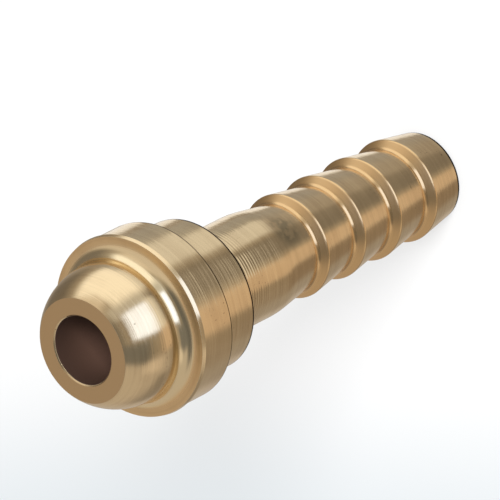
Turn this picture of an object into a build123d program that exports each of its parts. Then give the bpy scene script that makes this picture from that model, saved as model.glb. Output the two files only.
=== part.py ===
from build123d import *
from math import atan, cos, hypot, radians, sin, sqrt, tan
import os

# Hose barb tail, turned in one piece from brass bar. Sizes are in millimetres.
# It stands on the flat face of its barbed end: the origin is the centre of that face,
# and +Z runs along the bore to the ball nose.

# Bore, straight through
bore_diameter = 5.5
bore_edge_break = 0.12

# Ball nose, which seals in the cone of the mating fitting
ball_diameter = 11.4
nose_face_diameter = 8.4
nose_reach = 5.41
throat_radius = 1.1
throat_clearance = 0.05

# Flange, which a union nut pulls on: a rim with a lead-in taper in front of a plain band
flange_diameter = 14.56
flange_thickness = 3.66
rim_width = 0.34
rim_taper = 0.08
rim_step = 0.13
flange_edge_break = 0.06

# Collar, which centres the union nut
collar_diameter = 12.2
collar_length = 3.89
collar_edge_break = 0.08

# Stem: a parallel neck behind the collar, then barbs of the same diameter over their tops
stem_diameter = 8.5
neck_length = 6.88

# Barbs: each has a steep side towards the nose and a long taper to the tail. The depth and
# the end land are measured to the sharp corners that the top's break and root's rounding cut.
barb_count = 4
barb_pitch = 4.5
barb_depth = 0.6
barb_face_angle = 42.5
barb_top_break = 0.14
barb_root_radius = 0.5
end_land_length = 3.75
end_diameter = 7.4
end_edge_break = 0.15

# Largest share of a wall or step that one edge's break may take, and of a barb's steep side
# that the break at its top and the rounding at its root may take
most_of_wall = 0.45
top_share = 0.3
root_share = 0.6

# Radii from the axis
bore_radius = bore_diameter / 2
ball_radius = ball_diameter / 2
nose_face_radius = nose_face_diameter / 2
flange_radius = flange_diameter / 2
flange_face_radius = flange_radius - rim_taper
band_radius = flange_radius - rim_step
collar_radius = collar_diameter / 2
stem_radius = stem_diameter / 2
end_radius = end_diameter / 2

# A barb's steep side and taper, and its top's break and root's rounding as far as they fit
face_angle = radians(barb_face_angle)
face_length = barb_depth / tan(face_angle)
slope = barb_depth / sin(face_angle)
taper_angle = atan(barb_depth / (barb_pitch - face_length))
top_break = min(barb_top_break, top_share * slope)
root_rounding = min(barb_root_radius, root_share * slope / tan((face_angle + taper_angle) / 2))
barb_corner_radius = stem_radius + top_break * sin(taper_angle)
root_radius = barb_corner_radius - barb_depth

# Heights above the tail end
neck_end_height = end_land_length + barb_count * barb_pitch
collar_height = neck_end_height + neck_length
flange_height = collar_height + collar_length
flange_face_height = flange_height + flange_thickness
total_length = flange_face_height + nose_reach


def break_size(size, step):
    """The size of an edge's break, held to less than half of the step beside it."""
    return min(size, most_of_wall * step)


def stem_corners():
    """Corners from the tail face's edge up to the collar, as (radius, height, rounding)."""
    edge_break = break_size(end_edge_break, end_radius - bore_radius)
    corners = [(end_radius - edge_break, 0, 0), (end_radius, edge_break, 0)]
    for number in range(barb_count):
        face_height = end_land_length + number * barb_pitch
        face_top_radius = barb_corner_radius - top_break * sin(face_angle)
        corners.append((stem_radius, face_height - top_break * cos(taper_angle), 0))
        corners.append((face_top_radius, face_height + top_break * cos(face_angle), 0))
        corners.append((root_radius, face_height + face_length, root_rounding))
    corners.append((stem_radius, neck_end_height, 0))
    corners.append((stem_radius, collar_height, 0))
    return corners


def flange_corners():
    """Corners from the collar's back face up to the flange's front face, as above."""
    collar_break = break_size(collar_edge_break, collar_radius - stem_radius)
    flange_break = break_size(flange_edge_break, band_radius - collar_radius)
    rim_height = flange_face_height - rim_width
    return [
        (collar_radius - collar_break, collar_height, 0),
        (collar_radius, collar_height + collar_break, 0),
        (collar_radius, flange_height, 0),
        (band_radius - flange_break, flange_height, 0),
        (band_radius, flange_height + flange_break, 0),
        (band_radius, rim_height - rim_step, 0),
        (flange_radius, rim_height, 0),
        (flange_face_radius, flange_face_height, 0),
    ]


def nose_outline():
    """The throat and the ball, from the flange's front face up to the nose face.

    The throat is a hollow round that is tangent to the ball and to the flange's face. It has
    its full radius where that ends inside the face's edge, and what fits there otherwise.
    """
    ball_height = total_length - sqrt(ball_radius**2 - nose_face_radius**2)
    drop = ball_height - flange_face_height
    face_edge = flange_face_radius - throat_clearance
    widest = (face_edge**2 - ball_radius**2 + drop**2) / (2 * (ball_radius + drop))
    radius = min(throat_radius, widest)
    rise = radius - drop
    reach = sqrt((ball_radius + radius) ** 2 - rise**2)
    share = ball_radius / hypot(reach, rise)
    throat_start = (reach, flange_face_height)
    throat_end = (reach * share, ball_height + rise * share)
    throat = RadiusArc(throat_start, throat_end, radius)
    ball = RadiusArc(throat_end, (nose_face_radius, total_length), -ball_radius)
    return throat_start, [throat, ball]


def half_section():
    """The solid's section on one side of its axis, drawn as radius across and height up."""
    throat_start, nose = nose_outline()
    edge_break = break_size(bore_edge_break, end_radius - bore_radius)
    tail_face = (bore_radius + edge_break, 0)
    outside = stem_corners() + flange_corners()
    corners = [(radius, height) for radius, height, rounding in outside]
    roundings = [rounding for radius, height, rounding in outside]
    back = FilletPolyline(tail_face, *corners, throat_start, radius=roundings)
    bore = Polyline(
        (nose_face_radius, total_length),
        (bore_radius + edge_break, total_length),
        (bore_radius, total_length - edge_break),
        (bore_radius, edge_break),
        tail_face,
    )
    return make_face([*back.edges(), *nose, *bore.edges()])


hose_tail = revolve(Plane.XZ * half_section(), Axis.Z)

os.makedirs("parts", exist_ok=True)
export_step(hose_tail, "parts/hose_tail.step")
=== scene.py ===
from math import acos, atan2, ceil, cos, pi, radians, sin, sqrt, tan

import bpy
from bpy.props import FloatProperty, FloatVectorProperty, IntProperty, PointerProperty
from mathutils import Matrix, Vector


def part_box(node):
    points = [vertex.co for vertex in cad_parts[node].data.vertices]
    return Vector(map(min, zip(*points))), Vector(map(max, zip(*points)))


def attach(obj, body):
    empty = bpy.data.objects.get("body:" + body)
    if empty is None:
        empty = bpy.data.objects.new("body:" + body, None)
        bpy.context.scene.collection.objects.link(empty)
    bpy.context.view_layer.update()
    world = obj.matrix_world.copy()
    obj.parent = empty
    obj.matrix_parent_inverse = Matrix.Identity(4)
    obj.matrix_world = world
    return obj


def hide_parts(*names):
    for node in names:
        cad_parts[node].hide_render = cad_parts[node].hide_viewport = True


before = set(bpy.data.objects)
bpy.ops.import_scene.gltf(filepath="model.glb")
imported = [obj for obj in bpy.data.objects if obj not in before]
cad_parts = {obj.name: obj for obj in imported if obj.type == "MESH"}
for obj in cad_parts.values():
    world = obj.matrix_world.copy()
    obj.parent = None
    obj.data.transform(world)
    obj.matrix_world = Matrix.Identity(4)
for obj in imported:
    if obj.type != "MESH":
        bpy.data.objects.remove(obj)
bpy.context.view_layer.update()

bl_info = {
    "name": "Turned hose tail",
    "version": (1, 0, 0),
    "blender": (4, 5, 0),
    "location": "View3D > Sidebar > Hose tail",
    "description": "Dresses a turned brass hose tail and lights it on a pale floor",
    "category": "Object",
}

NODE = "hose_tail"
BODY = "root"
MM = 0.001
NODE_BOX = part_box(NODE)
TOTAL_HEIGHT = NODE_BOX[1][2] - NODE_BOX[0][2]
RIM_RADIUS = NODE_BOX[1][0]

# Steps of the outline. A rounding has ARC_START and one for each ARC_STEP of its turn.
ARC_STEP = radians(8)
ARC_START = 2
THROAT_STEPS = 14
BALL_STEPS = 36
GROOVE_STEPS = 6

# The grooves' uneven depths: the mean share, then waves by share and by radians from groove to groove
GROOVE_MEAN = 0.55
GROOVE_WAVES = ((0.27, 2.3), (0.18, 5.9))

# Points closer than this are joined, and edges flatter than this are shaded smooth
JOIN_GAP = 0.001 * MM
SMOOTH_ANGLE = radians(24)

# Noise cells to a metre, for the dull patches, the stain's mottle, the pits and the lines' drift
PATCH_CELLS = 350.0
MOTTLE_CELLS = 1600.0
PIT_CELLS = 4200.0
LINE_DRIFT = (70.0, 70.0, 0.0)

# Noise values at which each kind of mark begins and is full
DULL_RANGE = (0.42, 0.72)
PIT_RANGE = (0.67, 0.74)
PITTED_PATCH_RANGE = (0.54, 0.62)
MOTTLE_RANGE = (0.38, 0.60)
LINE_RANGE = (0.3, 0.7)

# How much the feed's marks and the patches dull the metal, what the turning lines add to its
# roughness, and how strongly both kinds of line stand out
FEED_SHARE = 0.5
PATCH_SHARE = 0.6
LINE_ROUGHNESS = (-0.03, 0.05)
FEED_BUMP = 0.7
LINE_BUMP = 0.6

# The stain's place, its middle as a share of its reach, its strength there and its faintest mottle
STAIN_PLACE = (1.2 * MM, -3.8 * MM, 20.4 * MM)
STAIN_MIDDLE = 0.3
STAIN_STRENGTH = 0.85
MOTTLE_LEAST = 0.35

# Stretches of each barb, from and to shares of its steep side's length, with the blur at their
# ends, the blur where the barbs end, and how far the matte stretch is matte
MATTE_STRETCH = (0.03, 0.75)
# The golden stretch carries a painted warm reflection on the barbs' crests, steep sides and roots
GOLDEN_REFLECTION_STRETCH = (-0.12, 1.35)
STRETCH_BLUR = 0.25
BARBED_BLUR = 0.01 * MM
MATTE_SHARE = 0.8

# Painted light that brightens the hollow throat above the flange's face: its start, its height in radii and
# its blur
THROAT_LIGHT_START = 0.05 * MM
THROAT_LIGHT_HEIGHT = 1.15
THROAT_LIGHT_BLUR = 0.08 * MM

# Distances from a surface between which its mask fades, and half the height of the flange face's
# mask with its blur
BORE_SKIN = (0.01 * MM, 0.05 * MM)
NOSE_SKIN = (0.03 * MM, 0.01 * MM)
COLLAR_SKIN = (0.1 * MM, 0.05 * MM)
FLANGE_SKIN = 0.03 * MM
FLANGE_BLUR = 0.02 * MM

# Blur of the painted shade lines at the back edges, the flange's line as a share of the collar's, and how
# deep the bore's wall is painted lighter
EDGE_SHADE_BLUR = 0.03 * MM
FLANGE_SHADE_SHARE = 0.6
BORE_LIFT_DEPTH = 6 * MM

# Width of the camera's sensor in millimetres, and its nearest and farthest sight in metres
PHOTO_PIXELS = 500
SENSOR_WIDTH = 36.0
CLIP_NEAR = 0.01
CLIP_FAR = 10.0

# The studio round the part, by azimuth, elevation, half width, half height and blur in degrees,
# then strength and tint. Each panel covers those before it, and all of them cover the room.
WHITE = (1.0, 1.0, 1.0, 1.0)
NEUTRAL = (1.0, 1.0, 1.0)
WARM = (1.1, 1.0, 0.9)
AMBER = (1.25, 1.0, 0.78)
CLEAR = (0.85, 1.0, 1.4)
ROOM = (0.36, 0.32, 0.27)
PANELS = (
    ((140, 12, 45, 62, 30), 0.47, WARM),
    ((165, -40, 30, 22, 20), 0.34, WARM),
    ((90, 60, 50, 34, 24), 0.40, AMBER),
    ((15, 62, 60, 30, 26), 0.58, WARM),
    ((-168, 4, 22, 40, 18), 0.47, WARM),
    ((-125, 58, 62, 20, 22), 0.14, NEUTRAL),
    ((-136, 22, 17, 28, 12), 0.19, NEUTRAL),
    ((-159, -12, 9, 14, 10), 0.64, WARM),
    ((158, -30, 24, 8, 10), 0.27, WARM),
    ((-168, -60, 22, 16, 16), 0.23, AMBER),
    ((-126, -48, 19, 22, 12), 0.53, AMBER),
    ((-76, -55, 20, 22, 12), 0.22, WARM),
    ((-45, -64, 22, 10, 12), 0.24, WARM),
    ((0, -62, 45, 14, 14), 0.34, WARM),
    ((-60, 2, 12, 32, 12), 0.58, NEUTRAL),
    ((-88, -31, 24, 9, 7), 0.85, NEUTRAL),
    ((-91, -2, 22, 22, 5), 1.50, CLEAR),
    ((-10, 30, 24, 13, 18), 0.66, WARM),
    ((-18, -10, 34, 28, 16), 1.12, NEUTRAL),
    ((-24, -44, 22, 9, 10), 0.76, NEUTRAL),
    ((50, 0, 20, 32, 20), 0.18, WARM),
    ((15, -46, 16, 10, 12), 0.40, NEUTRAL),
    ((60, -52, 16, 11, 4), 0.97, NEUTRAL),
    ((112, -48, 18, 12, 16), 0.46, WARM),
)


class HoseTailSizes(bpy.types.PropertyGroup):
    """The sizes of the turned outline. Those that the frame's box gives are read from it."""

    bore_diameter: FloatProperty(
        name="Bore", description="Diameter of the straight bore",
        default=5.5 * MM, subtype="DISTANCE")
    bore_edge_break: FloatProperty(
        name="Bore edge break", description="Break at both ends of the bore",
        default=0.12 * MM, subtype="DISTANCE")
    ball_diameter: FloatProperty(
        name="Ball", description="Diameter of the ball nose",
        default=11.4 * MM, subtype="DISTANCE")
    nose_face_diameter: FloatProperty(
        name="Nose face", description="Diameter of the flat on the ball",
        default=8.4 * MM, subtype="DISTANCE")
    nose_reach: FloatProperty(
        name="Nose reach", description="From the flange's front face to the nose face",
        default=5.41 * MM, subtype="DISTANCE")
    throat_radius: FloatProperty(
        name="Throat", description="Hollow round between the ball and the flange",
        default=1.1 * MM, subtype="DISTANCE")
    flange_thickness: FloatProperty(
        name="Flange thickness", description="From the flange's front face to its shoulder",
        default=3.66 * MM, subtype="DISTANCE")
    rim_width: FloatProperty(
        name="Rim width", description="Length of the lead-in taper at the flange's front",
        default=0.34 * MM, subtype="DISTANCE")
    rim_taper: FloatProperty(
        name="Rim taper", description="Drop of that taper in radius",
        default=0.08 * MM, subtype="DISTANCE")
    rim_step: FloatProperty(
        name="Rim step", description="How far the rim stands out from the band behind it",
        default=0.13 * MM, subtype="DISTANCE")
    flange_edge_break: FloatProperty(
        name="Flange edge break", description="Break at the flange's back edge",
        default=0.06 * MM, subtype="DISTANCE")
    collar_diameter: FloatProperty(
        name="Collar", description="Diameter of the nut's collar",
        default=12.2 * MM, subtype="DISTANCE")
    collar_length: FloatProperty(
        name="Collar length", description="Length of the nut's collar",
        default=3.89 * MM, subtype="DISTANCE")
    collar_edge_break: FloatProperty(
        name="Collar edge break", description="Break at the collar's back edge",
        default=0.08 * MM, subtype="DISTANCE")
    stem_diameter: FloatProperty(
        name="Stem", description="Diameter of the neck and of the barbs' tops",
        default=8.5 * MM, subtype="DISTANCE")
    barb_count: IntProperty(name="Barbs", description="Number of barbs", default=4, min=1)
    barb_pitch: FloatProperty(
        name="Barb pitch", description="From one barb's face to the next",
        default=4.5 * MM, subtype="DISTANCE")
    barb_depth: FloatProperty(
        name="Barb depth", description="Depth of the groove in front of each barb",
        default=0.6 * MM, subtype="DISTANCE")
    barb_face_angle: FloatProperty(
        name="Barb face angle", description="Slope of the barb's steep side",
        default=radians(42.5), subtype="ANGLE")
    barb_top_break: FloatProperty(
        name="Barb top", description="How far the rounding of a barb's top reaches from its corner",
        default=0.14 * MM, subtype="DISTANCE")
    barb_root_radius: FloatProperty(
        name="Barb root", description="Radius of the rounding in front of a barb",
        default=0.5 * MM, subtype="DISTANCE")
    end_land_length: FloatProperty(
        name="End land", description="From the tail end to the first barb's face",
        default=3.75 * MM, subtype="DISTANCE")
    end_diameter: FloatProperty(
        name="End", description="Diameter of the tail end",
        default=7.4 * MM, subtype="DISTANCE")
    end_edge_break: FloatProperty(
        name="End edge break", description="Break at the tail end's edge",
        default=0.15 * MM, subtype="DISTANCE")
    neck_blend: FloatProperty(
        name="Neck blend", description="Radius that blends the last barb's taper into the neck",
        default=9 * MM, subtype="DISTANCE")
    neck_plain: FloatProperty(
        name="Plain neck", description="Plain length of the neck before its grooves begin",
        default=0.95 * MM, subtype="DISTANCE")
    groove_pitch: FloatProperty(
        name="Groove pitch", description="Feed of the coarse turning grooves on the neck",
        default=0.27 * MM, subtype="DISTANCE")
    groove_depth: FloatProperty(
        name="Groove depth", description="Depth of those grooves beside the collar",
        default=0.022 * MM, subtype="DISTANCE")
    segments: IntProperty(
        name="Segments", description="Steps of the spin round the axis", default=256, min=32)


class BrassFinish(bpy.types.PropertyGroup):
    """Colours and gloss of the bare turned brass."""

    bright_brass: FloatVectorProperty(
        name="Bright brass", description="Clean turned metal",
        default=(0.88, 0.69, 0.42), subtype="COLOR")
    dull_brass: FloatVectorProperty(
        name="Dull brass", description="Metal that has dulled a little",
        default=(0.78, 0.60, 0.36), subtype="COLOR")
    # Painted reflection: a deeper golden tint for the warmer reflections on the barbs' crests, steep sides
    # and roots
    golden_reflection_brass: FloatVectorProperty(
        name="Golden brass", description="Deeper colour of the barbs' crests, steep sides and roots",
        default=(0.80, 0.54, 0.27), subtype="COLOR")
    face_brass: FloatVectorProperty(
        name="Face brass", description="Matte metal of the nose face",
        default=(0.66, 0.50, 0.30), subtype="COLOR")
    # Painted light: a lighter colour that offsets the darker reflections in the hollow throat
    throat_painted_light: FloatVectorProperty(
        name="Throat brass", description="Bright metal of the hollow round between ball and flange",
        default=(0.93, 0.76, 0.48), subtype="COLOR")
    stain_olive: FloatVectorProperty(
        name="Stain olive", description="Dull stained patch on the neck",
        default=(0.40, 0.34, 0.22), subtype="COLOR")
    stain_place: FloatVectorProperty(
        name="Stain place", description="Middle of that patch",
        default=STAIN_PLACE, subtype="TRANSLATION")
    stain_reach: FloatProperty(
        name="Stain reach", description="Distance over which the patch fades out",
        default=1.9 * MM, subtype="DISTANCE")
    speck_brown: FloatVectorProperty(
        name="Speck brown", description="Small dark pits in the duller patches",
        default=(0.42, 0.31, 0.18), subtype="COLOR")
    # Painted shade: a dark line on the back edges and the tail's face, for their shade and dark reflections
    painted_edge_shade: FloatVectorProperty(
        name="Edge brown",
        description="Dark back edges of collar, flange and tail, the flange's shoulder and the tail's face",
        default=(0.03, 0.018, 0.012), subtype="COLOR")
    edge_shade_width: FloatProperty(
        name="Edge line", description="Width of the dark line at the collar's back edge",
        default=0.21 * MM, subtype="DISTANCE")
    bore_brown: FloatVectorProperty(
        name="Bore brown", description="Dull brown wall of the bore near its mouth",
        default=(0.050, 0.028, 0.020), subtype="COLOR")
    # Painted light: the bore's wall turns lighter with depth to offset the shade deeper in the bore
    bore_depth_lift: FloatVectorProperty(
        name="Bore depth brown", description="Cleaner wall deeper in the bore",
        default=(0.13, 0.072, 0.052), subtype="COLOR")
    roughness: FloatProperty(
        name="Roughness", description="Roughness of the turned outside",
        default=0.155, min=0, max=1)
    matte_roughness: FloatProperty(
        name="Matte roughness", description="Roughness of the nose face, the flange's face and the bore",
        default=0.42, min=0, max=1)
    line_pitch: FloatProperty(
        name="Line pitch", description="Spacing of the turning lines",
        default=0.12 * MM, subtype="DISTANCE")
    line_depth: FloatProperty(
        name="Line depth", description="Depth of the turning lines",
        default=0.012 * MM, subtype="DISTANCE")
    feed_pitch: FloatProperty(
        name="Feed pitch", description="Spacing of the coarser marks of the tool's feed",
        default=0.33 * MM, subtype="DISTANCE")
    feed_depth: FloatProperty(
        name="Feed depth", description="Depth of those marks",
        default=0.0065 * MM, subtype="DISTANCE")


class StageSettings(bpy.types.PropertyGroup):
    """The floor, the light and the camera."""

    aim: FloatVectorProperty(
        name="Aim", description="Point that the camera looks at",
        default=(1.03 * MM, 0, 20.96 * MM), subtype="TRANSLATION")
    distance: FloatProperty(
        name="Distance", description="From the camera to that point",
        default=538.85 * MM, subtype="DISTANCE")
    elevation: FloatProperty(
        name="Elevation", description="Height of the camera's view above level",
        default=radians(44.85), subtype="ANGLE")
    roll: FloatProperty(
        name="Roll", description="Turn of the camera about its view",
        default=radians(-117), subtype="ANGLE")
    focal_pixels: FloatProperty(
        name="Focal length", description="Focal length in picture pixels", default=7000)
    floor_size: FloatProperty(
        name="Floor", description="Side of the floor", default=4.0, subtype="DISTANCE")
    floor_white: FloatVectorProperty(
        name="Floor white", description="Part of the floor's colour that takes the shadow",
        default=(0.28, 0.28, 0.28), subtype="COLOR")
    floor_glow: FloatProperty(
        name="Floor glow", description="Part of the floor's white that stays in the shadow", default=0.63)
    far_white: FloatVectorProperty(
        name="Far white", description="Tint of the floor in front of the part",
        default=(0.70, 0.77, 0.81), subtype="COLOR")
    fade_way: FloatVectorProperty(
        name="Fade way", description="Direction in which the floor fades",
        default=(-0.94, 0.34, 0.0), subtype="XYZ")
    fade_start: FloatProperty(
        name="Fade start", description="Distance along it where the fade begins",
        default=14 * MM, subtype="DISTANCE")
    fade_end: FloatProperty(
        name="Fade end", description="Distance along it where the fade ends",
        default=32 * MM, subtype="DISTANCE")
    even_light: FloatProperty(
        name="Even light", description="Strength of the even light on the floor and in the dull bore",
        default=0.8)
    lamp_way: FloatVectorProperty(
        name="Lamp way", description="Direction from the part to the lamp that casts the shadow",
        default=(0.26, -0.96, 1.0), subtype="XYZ")
    lamp_distance: FloatProperty(
        name="Lamp distance", description="From the foot of the part to the lamp",
        default=0.5, subtype="DISTANCE")
    lamp_size: FloatProperty(
        name="Lamp size", description="Side of the lamp", default=0.16, subtype="DISTANCE")
    lamp_power: FloatProperty(
        name="Lamp power", description="Power of the lamp", default=2.75, subtype="POWER")


def add_node(tree, kind, inputs=None, **settings):
    """A shader node with its settings made and its inputs set or linked."""
    made = tree.nodes.new(kind)
    for name, value in settings.items():
        setattr(made, name, value)
    for name, value in (inputs or {}).items():
        if isinstance(value, bpy.types.NodeSocket):
            tree.links.new(value, made.inputs[name])
        else:
            made.inputs[name].default_value = value
    return made


def calculate(tree, operation, *values):
    """The result of a Math node."""
    return add_node(tree, "ShaderNodeMath", dict(enumerate(values)), operation=operation).outputs[0]


def combine(tree, operation, *vectors, result="Vector"):
    """The result of a Vector Math node."""
    made = add_node(tree, "ShaderNodeVectorMath", dict(enumerate(vectors)), operation=operation)
    return made.outputs[result]


def noise(tree, place, cells, detail):
    """A noise texture with so many cells to each unit of the place."""
    settings = {"Vector": place, "Scale": cells, "Detail": detail}
    return add_node(tree, "ShaderNodeTexNoise", settings).outputs["Fac"]


def remap(tree, value, low, high, to_low=0.0, to_high=1.0):
    """A value carried smoothly from one range to another, and held at its ends."""
    ranges = {"Value": value, "From Min": low, "From Max": high, "To Min": to_low, "To Max": to_high}
    made = add_node(tree, "ShaderNodeMapRange", ranges, interpolation_type="SMOOTHSTEP")
    return made.outputs["Result"]


def between(tree, value, low, high, blur):
    """One where a value lies between two others, and nought outside them."""
    above = remap(tree, value, low - blur / 2, low + blur / 2)
    below = remap(tree, value, high - blur / 2, high + blur / 2, 1.0, 0.0)
    return calculate(tree, "MULTIPLY", above, below)


def mix_colour(tree, factor, first, second):
    """Two colours mixed by a factor."""
    made = add_node(tree, "ShaderNodeMix", data_type="RGBA")
    for socket, value in zip((made.inputs[0], made.inputs[6], made.inputs[7]), (factor, first, second)):
        if isinstance(value, bpy.types.NodeSocket):
            tree.links.new(value, socket)
        else:
            socket.default_value = value
    return made.outputs[2]


def mix_shader(tree, factor, first, second):
    """Two shaders mixed by a factor."""
    return add_node(tree, "ShaderNodeMixShader", {0: factor, 1: first, 2: second}).outputs[0]


def neck_end_height(sizes):
    """Where the last barb's taper meets the neck, above the tail end."""
    return sizes.end_land_length + sizes.barb_count * sizes.barb_pitch


def flange_face_height(sizes):
    """Where the flange's front face is, above the tail end."""
    return TOTAL_HEIGHT - sizes.nose_reach


def flange_height(sizes):
    """Where the flange begins, above the tail end."""
    return flange_face_height(sizes) - sizes.flange_thickness


def collar_height(sizes):
    """Where the collar begins, above the tail end."""
    return flange_height(sizes) - sizes.collar_length


def barb_corners(sizes):
    """The barbs from the tail up, as (radius, height, rounding) corners."""
    stem = sizes.stem_diameter / 2
    face_length = sizes.barb_depth / tan(sizes.barb_face_angle)
    taper_angle = atan2(sizes.barb_depth, sizes.barb_pitch - face_length)
    corner_radius = stem + sizes.barb_top_break * sin(taper_angle)
    top_rounding = sizes.barb_top_break * tan((pi - sizes.barb_face_angle - taper_angle) / 2)
    corners = []
    for number in range(sizes.barb_count):
        height = sizes.end_land_length + number * sizes.barb_pitch
        corners.append((corner_radius, height, top_rounding))
        corners.append((corner_radius - sizes.barb_depth, height + face_length, sizes.barb_root_radius))
    return corners


def neck_corners(sizes):
    """The neck from the last barb to the collar, with turning grooves that deepen towards the collar."""
    stem = sizes.stem_diameter / 2
    neck_end = neck_end_height(sizes)
    collar = collar_height(sizes)
    start = neck_end + sizes.neck_plain
    steps = int((collar - start) / sizes.groove_pitch) * GROOVE_STEPS
    corners = [(stem, neck_end, sizes.neck_blend)]
    for step in range(steps):
        along = step / steps
        groove = step // GROOVE_STEPS
        wave = 0.5 - 0.5 * cos(2 * pi * step / GROOVE_STEPS)
        uneven = sum((share * sin(turn * groove) for share, turn in GROOVE_WAVES), GROOVE_MEAN)
        depth = sizes.groove_depth * along * uneven
        corners.append((stem - depth * wave, start + along * (collar - start), 0))
    return corners + [(stem, collar, 0)]


def back_outline(sizes):
    """The outline from the bore's tail edge to the rim's front, as (radius, height, rounding) corners."""
    bore = sizes.bore_diameter / 2
    end = sizes.end_diameter / 2
    collar = sizes.collar_diameter / 2
    band = RIM_RADIUS - sizes.rim_step
    collar_start = collar_height(sizes)
    flange_start = flange_height(sizes)
    flange_face = flange_face_height(sizes)
    return [
        (bore, sizes.bore_edge_break, 0),
        (bore + sizes.bore_edge_break, 0, 0),
        (end - sizes.end_edge_break, 0, 0),
        (end, sizes.end_edge_break, 0),
        *barb_corners(sizes),
        *neck_corners(sizes),
        (collar - sizes.collar_edge_break, collar_start, 0),
        (collar, collar_start + sizes.collar_edge_break, 0),
        (collar, flange_start, 0),
        (band - sizes.flange_edge_break, flange_start, 0),
        (band, flange_start + sizes.flange_edge_break, 0),
        (band, flange_face - sizes.rim_width - sizes.rim_step, 0),
        (RIM_RADIUS, flange_face - sizes.rim_width, 0),
        (RIM_RADIUS - sizes.rim_taper, flange_face, 0),
    ]


def nose_arcs(sizes):
    """The throat and the ball: where the throat starts, and each arc's centre and turn."""
    flange_face = flange_face_height(sizes)
    ball = sizes.ball_diameter / 2
    nose_face = sizes.nose_face_diameter / 2
    ball_height = TOTAL_HEIGHT - sqrt(ball**2 - nose_face**2)
    throat = sizes.throat_radius
    rise = flange_face + throat - ball_height
    reach = sqrt((ball + throat) ** 2 - rise**2)
    lean = atan2(rise, reach)
    throat_arc = ((reach, flange_face + throat), lean - pi / 2)
    ball_arc = ((0, ball_height), acos(nose_face / ball) - lean)
    return (reach, flange_face), throat_arc, ball_arc


def start_point(name, radius, height):
    """A new mesh object in edit mode, cut down to one selected point of an outline."""
    bpy.ops.object.select_all(action="DESELECT")
    bpy.ops.mesh.primitive_plane_add(size=MM, location=(radius, 0, height))
    piece = bpy.context.object
    piece.name = name
    piece.data.name = name
    bpy.ops.object.mode_set(mode="EDIT")
    bpy.ops.mesh.select_all(action="SELECT")
    bpy.ops.mesh.merge(type="CENTER")
    return piece


def extrude_to(here, there):
    """Extrudes the selected point of an outline to the next corner, and gives that corner."""
    step = (there[0] - here[0], 0, there[1] - here[1])
    bpy.ops.mesh.extrude_region_move(TRANSFORM_OT_translate={"value": step})
    return Vector(there[:2])


def spin_arc(centre, turn, steps):
    """Extrudes the selected point of an outline along an arc about a centre."""
    bpy.ops.mesh.spin(steps=steps, angle=turn, center=(centre[0], 0, centre[1]), axis=(0, 1, 0))


def draw_corners(corners):
    """Extrudes the selected point through an outline's corners, with an arc where one is rounded."""
    here = Vector(corners[0][:2])
    for corner, after in zip(corners[1:], corners[2:]):
        there = Vector(corner[:2])
        rounding = corner[2]
        if rounding:
            ahead = (there - here).normalized()
            onward = (Vector(after[:2]) - there).normalized()
            turn = atan2(ahead.cross(onward), ahead.dot(onward))
            reach = rounding * tan(abs(turn) / 2)
            start = there - reach * ahead
            extrude_to(here, start)
            side = Vector((-ahead.y, ahead.x)) * (1 if turn > 0 else -1)
            spin_arc(start + rounding * side, turn, ARC_START + ceil(abs(turn) / ARC_STEP))
            here = there + reach * onward
        else:
            here = extrude_to(here, there)
    extrude_to(here, corners[-1])


class HOSETAIL_OT_turn_body(bpy.types.Operator):
    """Turns the hose tail from its outline"""

    bl_idname = "hosetail.turn_body"
    bl_label = "Turn the hose tail"

    def execute(self, context):
        sizes = context.scene.hose_tail_sizes
        corners = back_outline(sizes)
        throat_start, throat_arc, ball_arc = nose_arcs(sizes)
        piece = start_point("turned_hose_tail", *corners[0][:2])
        draw_corners(corners + [throat_start])
        spin_arc(*throat_arc, THROAT_STEPS)
        spin_arc(*ball_arc, BALL_STEPS)
        bore = sizes.bore_diameter / 2
        mouth_edge = (bore + sizes.bore_edge_break, TOTAL_HEIGHT)
        mouth_wall = (bore, TOTAL_HEIGHT - sizes.bore_edge_break)
        here = (sizes.nose_face_diameter / 2, TOTAL_HEIGHT)
        for there in (mouth_edge, mouth_wall, corners[0]):
            here = extrude_to(here, there)
        bpy.ops.mesh.select_all(action="SELECT")
        bpy.ops.mesh.spin(steps=sizes.segments, angle=2 * pi, center=(0, 0, 0), axis=(0, 0, 1))
        bpy.ops.mesh.select_all(action="SELECT")
        bpy.ops.mesh.remove_doubles(threshold=JOIN_GAP)
        bpy.ops.mesh.normals_make_consistent(inside=False)
        bpy.ops.object.mode_set(mode="OBJECT")
        bpy.ops.object.transform_apply(location=True, rotation=True, scale=True)
        bpy.ops.object.shade_smooth_by_angle(angle=SMOOTH_ANGLE)
        piece.data.materials.append(brass_material(context.scene.brass_finish, sizes))
        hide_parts(NODE)
        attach(piece, BODY)
        return {"FINISHED"}


def turning_lines(tree, place, height, radius, pitch):
    """Fine uneven lines that run round the axis, on the outside and on the end faces alike."""
    along = calculate(tree, "DIVIDE", calculate(tree, "SUBTRACT", height, radius), pitch)
    slow = combine(tree, "MULTIPLY", place, LINE_DRIFT)
    stretched = add_node(tree, "ShaderNodeCombineXYZ", {"Z": along}).outputs[0]
    return noise(tree, combine(tree, "ADD", slow, stretched), cells=1.0, detail=2.0)


def barb_mask(tree, height, sizes, start, end):
    """One on a stretch of every barb, from and to shares of its steep side's length."""
    share = sizes.barb_depth / tan(sizes.barb_face_angle) / sizes.barb_pitch
    lead = sizes.barb_pitch * share / 2
    first = sizes.end_land_length - lead
    last = neck_end_height(sizes) - lead
    along = calculate(tree, "DIVIDE", calculate(tree, "SUBTRACT", height, first), sizes.barb_pitch)
    phase = calculate(tree, "FRACT", along)
    stretch = between(tree, phase, (start + 0.5) * share, (end + 0.5) * share, STRETCH_BLUR * share)
    barbed = between(tree, height, first, last, BARBED_BLUR)
    return calculate(tree, "MULTIPLY", stretch, barbed)


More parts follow.
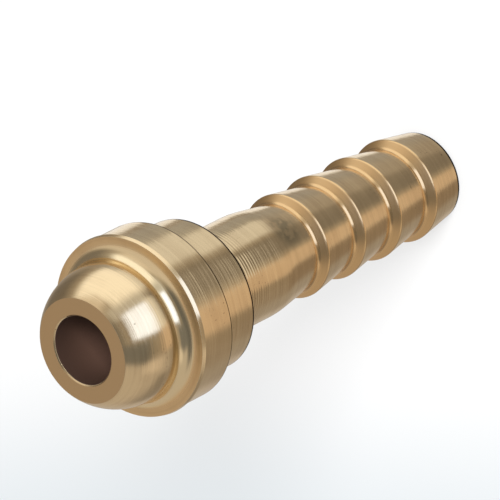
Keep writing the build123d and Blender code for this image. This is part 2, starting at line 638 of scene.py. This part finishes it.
def edge_shade_mask(tree, height, radius, finish, sizes):
    """One where dark painted shade goes: the back edges of collar, flange and tail, the flange's shoulder
    and the tail's face.
    """
    collar = collar_height(sizes)
    flange = flange_height(sizes)
    flange_line = flange + FLANGE_SHADE_SHARE * finish.edge_shade_width
    tail_line = sizes.end_edge_break + finish.edge_shade_width
    collar_start = between(tree, height, collar - EDGE_SHADE_BLUR, collar + finish.edge_shade_width, EDGE_SHADE_BLUR)
    outside = remap(tree, radius, *(sizes.collar_diameter / 2 - skin for skin in COLLAR_SKIN))
    collar_edge = calculate(tree, "MULTIPLY", collar_start, outside)
    flange_edge = between(tree, height, flange - EDGE_SHADE_BLUR, flange_line, EDGE_SHADE_BLUR)
    tail = remap(tree, height, tail_line - EDGE_SHADE_BLUR, tail_line, 1.0, 0.0)
    return calculate(tree, "MAXIMUM", calculate(tree, "MAXIMUM", collar_edge, flange_edge), tail)


def stain_mask(tree, place, finish):
    """The stained patch of the neck, strongest in its middle, with a mottled, faded edge."""
    away = combine(tree, "DISTANCE", place, finish.stain_place, result="Value")
    near = remap(tree, away, STAIN_MIDDLE * finish.stain_reach, finish.stain_reach, STAIN_STRENGTH, 0.0)
    mottle = noise(tree, place, MOTTLE_CELLS, detail=3.0)
    return calculate(tree, "MULTIPLY", near, remap(tree, mottle, *MOTTLE_RANGE, MOTTLE_LEAST, 1.0))


def throat_light_mask(tree, height, sizes):
    """One on the hollow round between the flange's front face and the ball, where painted light lifts its
    colour.
    """
    flange_face = flange_face_height(sizes)
    top = flange_face + THROAT_LIGHT_HEIGHT * sizes.throat_radius
    return between(tree, height, flange_face + THROAT_LIGHT_START, top, THROAT_LIGHT_BLUR)


def brass_colour(tree, finish, sizes, place, height, feed):
    """The outside's colour, with streaks, pits, the stain, a golden painted reflection on the barbs and
    painted light in the throat.
    """
    patches = noise(tree, place, PATCH_CELLS, detail=4.0)
    patched = calculate(tree, "MULTIPLY", patches, PATCH_SHARE)
    streaks = calculate(tree, "MULTIPLY_ADD", feed, FEED_SHARE, patched)
    dull = remap(tree, streaks, *DULL_RANGE)
    pits = remap(tree, noise(tree, place, PIT_CELLS, detail=2.0), *PIT_RANGE)
    specks = calculate(tree, "MULTIPLY", pits, remap(tree, patches, *PITTED_PATCH_RANGE))
    # Painted reflection: golden tint on the barbs
    golden = barb_mask(tree, height, sizes, *GOLDEN_REFLECTION_STRETCH)
    throat = throat_light_mask(tree, height, sizes)
    stain = stain_mask(tree, place, finish)
    colour = mix_colour(tree, dull, (*finish.bright_brass, 1), (*finish.dull_brass, 1))
    colour = mix_colour(tree, specks, colour, (*finish.speck_brown, 1))
    colour = mix_colour(tree, golden, colour, (*finish.golden_reflection_brass, 1))
    # Painted light: the throat's hollow is made lighter
    colour = mix_colour(tree, throat, colour, (*finish.throat_painted_light, 1))
    return mix_colour(tree, stain, colour, (*finish.stain_olive, 1))


def brass_roughness(tree, finish, sizes, height, lines, matte):
    """The metal's roughness, uneven along the lines and higher where it is matte."""
    flange_face = flange_face_height(sizes)
    face = between(tree, height, flange_face - FLANGE_SKIN, flange_face + FLANGE_SKIN, FLANGE_BLUR)
    steep = barb_mask(tree, height, sizes, *MATTE_STRETCH)
    matte = calculate(tree, "MAXIMUM", matte, face)
    matte = calculate(tree, "MAXIMUM", matte, calculate(tree, "MULTIPLY", steep, MATTE_SHARE))
    glossy = remap(tree, lines, *LINE_RANGE, *(finish.roughness + change for change in LINE_ROUGHNESS))
    inputs = {0: matte, 2: glossy, 3: finish.matte_roughness}
    return add_node(tree, "ShaderNodeMix", inputs, data_type="FLOAT").outputs[0]


def brass_material(finish, sizes):
    """Bare turned brass with turning lines round the axis, duller patches and a brown bore, with painted
    shade on the back edges.
    """
    material = bpy.data.materials.new("satin_brass")
    material.use_nodes = True
    tree = material.node_tree
    shader = tree.nodes["Principled BSDF"]
    place = add_node(tree, "ShaderNodeTexCoord").outputs["Object"]
    height = add_node(tree, "ShaderNodeSeparateXYZ", {"Vector": place}).outputs["Z"]
    radius = combine(tree, "LENGTH", combine(tree, "MULTIPLY", place, (1, 1, 0)), result="Value")
    lines = turning_lines(tree, place, height, radius, finish.line_pitch)
    feed = turning_lines(tree, place, height, radius, finish.feed_pitch)
    nose_face = remap(tree, height, *(TOTAL_HEIGHT - skin for skin in NOSE_SKIN))
    in_bore = remap(tree, radius, *(sizes.bore_diameter / 2 + skin for skin in BORE_SKIN), 1.0, 0.0)
    # Painted light: the bore's wall is lightened with depth, against its shade
    deep = remap(tree, height, TOTAL_HEIGHT - BORE_LIFT_DEPTH, TOTAL_HEIGHT, 1.0, 0.0)
    edges = edge_shade_mask(tree, height, radius, finish, sizes)

    colour = brass_colour(tree, finish, sizes, place, height, feed)
    colour = mix_colour(tree, nose_face, colour, (*finish.face_brass, 1))
    # Painted shade: dark lines on the back edges, the flange's shoulder and the tail's face
    colour = mix_colour(tree, edges, colour, (*finish.painted_edge_shade, 1))
    brown = mix_colour(tree, deep, (*finish.bore_brown, 1), (*finish.bore_depth_lift, 1))
    colour = mix_colour(tree, in_bore, colour, brown)
    tree.links.new(colour, shader.inputs["Base Color"])
    tree.links.new(calculate(tree, "SUBTRACT", 1.0, in_bore), shader.inputs["Metallic"])

    matte = calculate(tree, "MAXIMUM", nose_face, in_bore)
    rough = brass_roughness(tree, finish, sizes, height, lines, matte)
    tree.links.new(rough, shader.inputs["Roughness"])

    feed_marks = {"Height": feed, "Strength": FEED_BUMP, "Distance": finish.feed_depth}
    normal = add_node(tree, "ShaderNodeBump", feed_marks).outputs["Normal"]
    line_marks = {"Height": lines, "Strength": LINE_BUMP, "Distance": finish.line_depth, "Normal": normal}
    normal = add_node(tree, "ShaderNodeBump", line_marks).outputs["Normal"]
    tree.links.new(normal, shader.inputs["Normal"])
    return material


def panel_mask(tree, azimuth, elevation, panel):
    """One inside a soft-edged panel of the surroundings, and nought outside it."""
    centre_turn, centre_rise, half_width, half_height, blur = (radians(part) for part in panel)
    turn = calculate(tree, "SUBTRACT", azimuth, centre_turn)
    turn = calculate(tree, "ABSOLUTE", calculate(tree, "WRAP", turn, pi, -pi))
    rise = calculate(tree, "ABSOLUTE", calculate(tree, "SUBTRACT", elevation, centre_rise))
    across = remap(tree, turn, half_width - blur / 2, half_width + blur / 2, 1.0, 0.0)
    upright = remap(tree, rise, half_height - blur / 2, half_height + blur / 2, 1.0, 0.0)
    return calculate(tree, "MULTIPLY", across, upright)


def paint_world(scene, even_light):
    """White for the camera, even light for the floor and the bore, and a studio for the metal."""
    world = bpy.data.worlds.new("studio")
    scene.world = world
    world.use_nodes = True
    tree = world.node_tree
    tree.nodes.clear()
    direction = add_node(tree, "ShaderNodeTexCoord").outputs["Generated"]
    parts = add_node(tree, "ShaderNodeSeparateXYZ", {"Vector": direction}).outputs
    azimuth = calculate(tree, "ARCTAN2", parts["Y"], parts["X"])
    elevation = calculate(tree, "ARCSINE", parts["Z"])
    colour = (*ROOM, 1.0)
    for panel, strength, tint in PANELS:
        mask = panel_mask(tree, azimuth, elevation, panel)
        colour = mix_colour(tree, mask, colour, (*(strength * part for part in tint), 1.0))
    studio = add_node(tree, "ShaderNodeBackground", {"Color": colour, "Strength": 1.0}).outputs[0]
    white = add_node(tree, "ShaderNodeBackground", {"Color": WHITE, "Strength": 1.0}).outputs[0]
    even = add_node(tree, "ShaderNodeBackground", {"Color": WHITE, "Strength": even_light}).outputs[0]
    rays = add_node(tree, "ShaderNodeLightPath").outputs
    lit = mix_shader(tree, rays["Is Diffuse Ray"], studio, even)
    seen = mix_shader(tree, rays["Is Camera Ray"], lit, white)
    add_node(tree, "ShaderNodeOutputWorld", {"Surface": seen})


def floor_material(settings):
    """A pale floor that takes the shadow, glows for the camera and is clear to reflections."""
    material = bpy.data.materials.new("pale_floor")
    material.use_nodes = True
    tree = material.node_tree
    tree.nodes.clear()
    place = add_node(tree, "ShaderNodeTexCoord").outputs["Object"]
    across = combine(tree, "DOT_PRODUCT", place, settings.fade_way, result="Value")
    fade = remap(tree, across, settings.fade_start, settings.fade_end)
    glow = mix_colour(tree, fade, WHITE, (*settings.far_white, 1))
    bright = add_node(
        tree, "ShaderNodeEmission", {"Color": glow, "Strength": settings.floor_glow}).outputs[0]
    pale = add_node(tree, "ShaderNodeBsdfDiffuse", {"Color": (*settings.floor_white, 1)}).outputs[0]
    clear = add_node(tree, "ShaderNodeBsdfTransparent").outputs[0]
    seen = add_node(tree, "ShaderNodeAddShader", {0: pale, 1: bright}).outputs[0]
    rays = add_node(tree, "ShaderNodeLightPath").outputs
    shown = mix_shader(tree, rays["Is Camera Ray"], pale, seen)
    surface = mix_shader(tree, rays["Is Glossy Ray"], shown, clear)
    add_node(tree, "ShaderNodeOutputMaterial", {"Surface": surface})
    return material


class HOSETAIL_OT_set_stage(bpy.types.Operator):
    """Sets the floor, the studio, the shadow's lamp and the camera"""

    bl_idname = "hosetail.set_stage"
    bl_label = "Set the stage"

    def execute(self, context):
        scene = context.scene
        settings = scene.hose_tail_stage
        bpy.ops.object.select_all(action="DESELECT")
        bpy.ops.mesh.primitive_plane_add(size=settings.floor_size, location=(0, 0, 0))
        floor = context.object
        floor.name = "floor"
        floor.data.materials.append(floor_material(settings))
        paint_world(scene, settings.even_light)

        toward_lamp = Vector(settings.lamp_way).normalized()
        bpy.ops.object.light_add(type="AREA", location=toward_lamp * settings.lamp_distance)
        lamp = context.object
        lamp.name = "shadow_lamp"
        lamp.rotation_euler = toward_lamp.to_track_quat("Z", "Y").to_euler()
        lamp.data.size = settings.lamp_size
        lamp.data.energy = settings.lamp_power
        lamp.visible_glossy = False

        bpy.ops.object.camera_add()
        camera = context.object
        camera.data.sensor_width = SENSOR_WIDTH
        camera.data.lens = settings.focal_pixels / PHOTO_PIXELS * SENSOR_WIDTH
        camera.data.clip_start = CLIP_NEAR
        camera.data.clip_end = CLIP_FAR
        view = Vector((0, cos(settings.elevation), -sin(settings.elevation)))
        turn = Matrix.Rotation(pi / 2 - settings.elevation, 4, "X") @ Matrix.Rotation(settings.roll, 4, "Z")
        position = Vector(settings.aim) - settings.distance * view
        camera.matrix_world = Matrix.Translation(position) @ turn
        scene.camera = camera
        scene.view_settings.view_transform = "Standard"
        return {"FINISHED"}


class HOSETAIL_PT_sidebar(bpy.types.Panel):
    """Lists the hose tail's operators and settings"""

    bl_idname = "HOSETAIL_PT_sidebar"
    bl_label = "Hose tail"
    bl_space_type = "VIEW_3D"
    bl_region_type = "UI"
    bl_category = "Hose tail"

    def draw(self, context):
        scene = context.scene
        for operator in OPERATORS:
            self.layout.operator(operator.bl_idname)
        for settings in (scene.hose_tail_sizes, scene.brass_finish, scene.hose_tail_stage):
            box = self.layout.box()
            for name in settings.bl_rna.properties.keys():
                if name not in ("rna_type", "name"):
                    box.prop(settings, name)


OPERATORS = (HOSETAIL_OT_turn_body, HOSETAIL_OT_set_stage)
CLASSES = (HoseTailSizes, BrassFinish, StageSettings, *OPERATORS, HOSETAIL_PT_sidebar)


def register():
    """Registers the classes and their settings on the scene."""
    for made in CLASSES:
        bpy.utils.register_class(made)
    bpy.types.Scene.hose_tail_sizes = PointerProperty(type=HoseTailSizes)
    bpy.types.Scene.brass_finish = PointerProperty(type=BrassFinish)
    bpy.types.Scene.hose_tail_stage = PointerProperty(type=StageSettings)


def unregister():
    """Removes what register added."""
    del bpy.types.Scene.hose_tail_stage
    del bpy.types.Scene.brass_finish
    del bpy.types.Scene.hose_tail_sizes
    for made in reversed(CLASSES):
        bpy.utils.unregister_class(made)


def main():
    """Builds the dressed part and its stage."""
    register()
    bpy.ops.hosetail.turn_body()
    bpy.ops.hosetail.set_stage()


if __name__ == "__main__":
    main()
